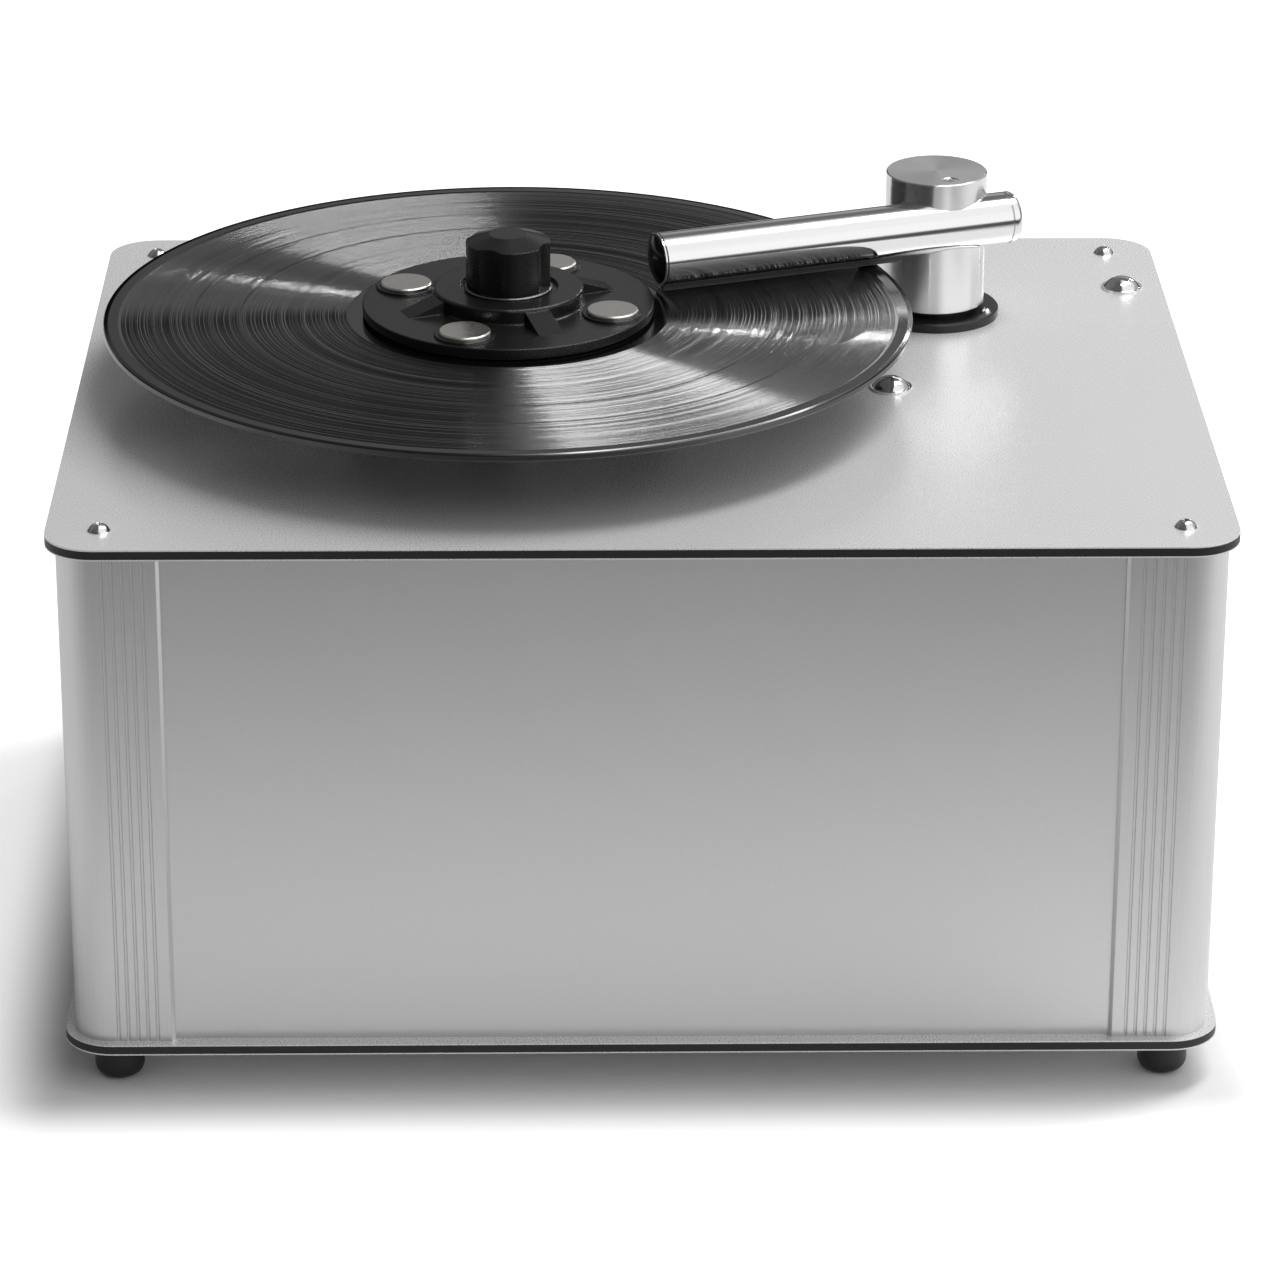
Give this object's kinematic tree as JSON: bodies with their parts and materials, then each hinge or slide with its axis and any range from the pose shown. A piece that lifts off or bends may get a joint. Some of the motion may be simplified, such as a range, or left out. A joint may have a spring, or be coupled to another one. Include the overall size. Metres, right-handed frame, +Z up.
{
  "type": "record cleaning machine",
  "caption": "Metal-cased record cleaning machine with a clamped turning record and a swinging vacuum tube arm on a round column.",
  "frame": {"origin": "on the floor under the middle of the cabinet", "axes": "+Z up, the front panel faces -Y, +X is to the right seen from the front"},
  "size_m": [0.418, 0.336, 0.2708],
  "materials": {
    "laminate_core": "satin black laminate core",
    "plate_skin": "fine satin anodised",
    "post_metal": "satin anodised extrusion",
    "panel_metal": "fine-grained satin sheet",
    "fastener_steel": "bright plated",
    "bolt_dome": "polished dome",
    "turned_steel": "turned",
    "foot_rubber": "satin black",
    "soft_rubber": "matt black",
    "bearing_brass": "turned",
    "platter_metal": "turned",
    "vinyl": "glossy grooved vinyl",
    "clamp_plastic": "polished black",
    "magnet_nickel": "nickel plated",
    "column_metal": "turned and brushed",
    "ring_black": "satin black anodised",
    "tube_chrome": "polished",
    "felt": "black felt",
    "black_plastic": "satin black",
    "sleeve_plastic": "satin black",
    "motor_metal": "drawn steel can",
    "tank_plastic": "translucent white",
    "inner_plastic": "moulded grey",
    "board": "circuit board",
    "cable_sleeve": "flexible sleeve"
  },
  "bodies": {
    "cabinet": {"top_plate_core": "laminate_core", "top_plate_skins": "plate_skin", "bottom_plate_core": "laminate_core", "bottom_plate_skins": "plate_skin", "corner_post_front_left": "post_metal", "corner_post_front_right": "post_metal", "corner_post_rear_left": "post_metal", "corner_post_rear_right": "post_metal", "front_panel": "panel_metal", "rear_panel": "panel_metal", "left_panel": "panel_metal", "right_panel": "panel_metal", "top_plate_screws": "fastener_steel", "foot_studs": "fastener_steel", "rubber_feet": "foot_rubber", "tank_bolts": "bolt_dome", "spindle_bearing": "bearing_brass", "drive_gearbox": "motor_metal", "drive_motor": "motor_metal", "motor_plate": "platter_metal", "motor_posts": "fastener_steel", "arm_base_ring": "ring_black", "base_ring_screws": "fastener_steel", "arm_guide_sleeve": "sleeve_plastic", "waste_tank": "tank_plastic", "tank_lid": "tank_plastic", "tank_gasket": "soft_rubber", "drain_outlet": "tank_plastic", "suction_hose": "soft_rubber", "turbine_housing": "inner_plastic", "turbine_motor": "motor_metal", "turbine_mount": "soft_rubber", "mains_inlet": "black_plastic", "switch_housings": "black_plastic", "control_board": "board", "wiring_loom": "cable_sleeve"},
    "platter": {"spindle_shaft": "turned_steel", "sub_platter": "platter_metal", "platter_mat": "soft_rubber", "record": "vinyl", "drive_coupling": "turned_steel", "gearbox_output_shaft": "turned_steel"},
    "clamp": {"clamp_disc": "clamp_plastic", "clamp_seal": "soft_rubber", "clamp_magnets": "magnet_nickel", "clamp_washer": "tube_chrome"},
    "knob": {"clamp_knob": "clamp_plastic"},
    "lift": {"lift_pipe": "turned_steel", "lift_spring": "turned_steel"},
    "arm": {"arm_column": "column_metal", "suction_tube": "tube_chrome", "felt_strips": "felt", "tube_tip_plug": "black_plastic", "tube_tip_ring": "tube_chrome", "tube_heel_cap": "tube_chrome", "tube_clamp_screw": "fastener_steel"},
    "fan": {"turbine_fan": "inner_plastic"},
    "platter_switch": {"platter_rocker": "black_plastic"},
    "vacuum_switch": {"vacuum_rocker": "black_plastic"},
    "cap": {"drain_cap": "black_plastic"}
  },
  "joints": [
    {"name": "platter_spin", "type": "hinge", "parent": "cabinet", "child": "platter", "pos_m": [-0.048, 0, 0.2], "axis": [0, 0, 1], "continuous": true},
    {"name": "clamp_lift", "type": "slide", "parent": "platter", "child": "clamp", "axis": [0, 0, 1], "range_m": [0, 0.06]},
    {"name": "knob_turn", "type": "hinge", "parent": "clamp", "child": "knob", "pos_m": [-0.048, 0, 0.2505], "axis": [0, 0, 1], "range_deg": [-180, 180]},
    {"name": "arm_lift", "type": "slide", "parent": "cabinet", "child": "lift", "axis": [0, 0, 1], "range_m": [0, 0.008], "deforming": ["lift_spring"]},
    {"name": "arm_swing", "type": "hinge", "parent": "lift", "child": "arm", "pos_m": [0.1166, 0.078, 0.24], "axis": [0, 0, 1], "range_deg": [-15, 110]},
    {"name": "fan_spin", "type": "hinge", "parent": "cabinet", "child": "fan", "pos_m": [-0.12, 0.088, 0.1], "axis": [0, 0, 1], "continuous": true},
    {"name": "platter_switch_tilt", "type": "hinge", "parent": "cabinet", "child": "platter_switch", "pos_m": [0.203, -0.085, 0.15], "axis": [0, 1, 0], "range_deg": [-10, 10]},
    {"name": "vacuum_switch_tilt", "type": "hinge", "parent": "cabinet", "child": "vacuum_switch", "pos_m": [0.203, -0.055, 0.15], "axis": [0, 1, 0], "range_deg": [0, 20]},
    {"name": "drain_cap_pull", "type": "slide", "parent": "cabinet", "child": "cap", "axis": [1, 0, 0], "range_m": [0, 0.02]}
  ]
}
